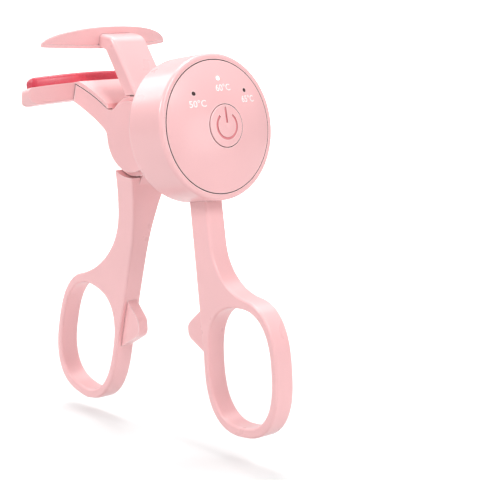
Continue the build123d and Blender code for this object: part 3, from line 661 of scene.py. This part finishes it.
# The floor passes this far below both rings, which leaves room for the left ring's dip as the jaws shut.
FLOOR_CLEARANCE = 7.5 * MM
STAGE_HALF_WIDTH = 3.0
STAGE_FRONT_EDGE = 3.0
STAGE_BEND_START = -1.2
STAGE_BEND_RADIUS = 0.5
STAGE_BEND_STEPS = 12
STAGE_WALL_HEIGHT = 3.0
PAPER_WHITE = (0.62, 0.62, 0.62)
# The paper's glow in front of the camera, near the object and far from it.
GLOW_NEAR = 0.27
GLOW_FAR = 0.90
GLOW_NEAR_REACH = 0.08
GLOW_FAR_REACH = 0.40


def studio_paper(name):
    """Pale, slightly uneven studio paper."""
    finish = Finish(name)
    patchy = finish.spread(finish.noise(scale=8, detail=3))
    finish.set("Base Color", finish.mix(patchy, PAPER_WHITE, scale_colour(PAPER_WHITE, 1.02)))
    finish.set("Roughness", 0.9)
    finish.set("Specular IOR Level", 0.0)
    # The paper looks evenly white to the camera without lighting the object from below, and the glow is
    # faint near the object so that its shadow shows.
    away = finish.nodes.new("ShaderNodeVectorMath")
    away.operation = "LENGTH"
    finish.links.new(finish.place, away.inputs[0])
    strength = finish.remap(away.outputs["Value"], GLOW_NEAR_REACH, GLOW_FAR_REACH, GLOW_NEAR, GLOW_FAR)
    seen = finish.nodes.new("ShaderNodeMath")
    seen.operation = "MULTIPLY"
    finish.links.new(finish.nodes.new("ShaderNodeLightPath").outputs["Is Camera Ray"], seen.inputs[0])
    finish.links.new(strength, seen.inputs[1])
    finish.glow(seen.outputs[0])
    return finish


def stage_profile():
    """Side view of the stage: a flat floor that curves up into a wall."""
    profile = [(STAGE_FRONT_EDGE, 0.0), (STAGE_BEND_START, 0.0)]
    for i in range(1, STAGE_BEND_STEPS + 1):
        angle = pi / 2 * i / STAGE_BEND_STEPS
        back = STAGE_BEND_START - STAGE_BEND_RADIUS * sin(angle)
        profile.append((back, STAGE_BEND_RADIUS * (1 - cos(angle))))
    profile.append((STAGE_BEND_START - STAGE_BEND_RADIUS, STAGE_WALL_HEIGHT))
    return profile


def build_stage():
    """Floor just below both finger rings, curving up into a backdrop behind the object."""
    builder = bmesh.new()
    strips = [
        [builder.verts.new((x, side * STAGE_HALF_WIDTH, z)) for side in (-1, 1)] for x, z in stage_profile()
    ]
    for first, second in zip(strips, strips[1:]):
        builder.faces.new((first[0], first[1], second[1], second[0]))
    stage = link_mesh("studio_floor", builder, studio_paper("studio_paper"))
    # The left ring hangs higher than the right one, so the floor slopes to pass below both alike.
    left_low, left_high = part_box("left_handle")
    right_low, right_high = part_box("right_handle")
    left_x = (left_low.x + left_high.x) / 2
    right_x = (right_low.x + right_high.x) / 2
    slope = atan2(left_low.z - right_low.z, right_x - left_x)
    under_right = Vector((right_x, PIVOT.y, right_low.z - FLOOR_CLEARANCE))
    face_camera = Matrix.Rotation(CAMERA_AZIMUTH - pi / 2, 4, "Z")
    stage.matrix_world = Matrix.Translation(under_right) @ Matrix.Rotation(slope, 4, "Y") @ face_camera


# ---------------------------------------------------------------- lights and surroundings

WHITE = (1.0, 1.0, 1.0)
FRONT_WHITE = (1.0, 0.99, 0.99)
# Name, diameter, power in watts, colour, and place from the camera's aim: to the camera's right, up, and
# toward the camera.
OBJECT_LIGHTS = (
    ("overhead", 0.35, 4.0, WHITE, (0.10, 0.90, -0.05)),
    ("key", 0.30, 3.8, WHITE, (-0.75, 0.50, 0.45)),
    ("side_fill", 0.50, 1.3, WHITE, (0.85, 0.00, 0.45)),
    ("front", 0.45, 4.7, FRONT_WHITE, (0.50, 0.60, 0.70)),
    ("rim", 0.50, 1.5, WHITE, (-0.60, 0.55, -0.45)),
)
BACKDROP_LIGHT = ("backdrop", 1.4, 8.0, WHITE, (0.0, 0.9, -0.6))
BACKDROP_BACK = 1.5
BACKDROP_DROP = 0.1
# How strongly the white surroundings light the object, and how white the camera sees them.
WORLD_LIGHT = 0.36
WORLD_SEEN = 1.0


def round_light(name, diameter, power, colour, place, target):
    """Round soft light aimed at a point."""
    right, _, toward = camera_axes()
    sideways, height, forward = place
    position = CAMERA_AIM + right * sideways + Vector((0, 0, height)) + toward * forward
    data = bpy.data.lights.new(name, "AREA")
    data.shape = "DISK"
    data.size = diameter
    data.energy = power
    data.color = colour
    light = bpy.data.objects.new(name, data)
    bpy.context.scene.collection.objects.link(light)
    light.location = position
    light.rotation_euler = (target - position).to_track_quat("-Z", "Y").to_euler()


def build_lights():
    """Softboxes above, to both sides, in front of and behind the object, and a light on the backdrop."""
    for light in OBJECT_LIGHTS:
        round_light(*light, CAMERA_AIM)
    toward = camera_axes()[2]
    round_light(*BACKDROP_LIGHT, CAMERA_AIM - toward * BACKDROP_BACK - Vector((0, 0, BACKDROP_DROP)))


def build_world():
    """White surroundings that light the object softly and look fully white to the camera."""
    world = bpy.data.worlds.new("studio")
    bpy.context.scene.world = world
    world.use_nodes = True
    nodes = world.node_tree.nodes
    links = world.node_tree.links
    background = nodes["Background"]
    background.inputs["Color"].default_value = (1, 1, 1, 1)
    to_camera = nodes.new("ShaderNodeLightPath").outputs["Is Camera Ray"]
    strength = add_remap(nodes, links, to_camera, 0, 1, WORLD_LIGHT, WORLD_SEEN)
    links.new(strength, background.inputs["Strength"])


dress_cad_nodes()
build_pad()
build_spring()
build_labels()
build_stage()
build_lights()
build_world()
build_camera()
bpy.context.scene.view_settings.view_transform = "Standard"
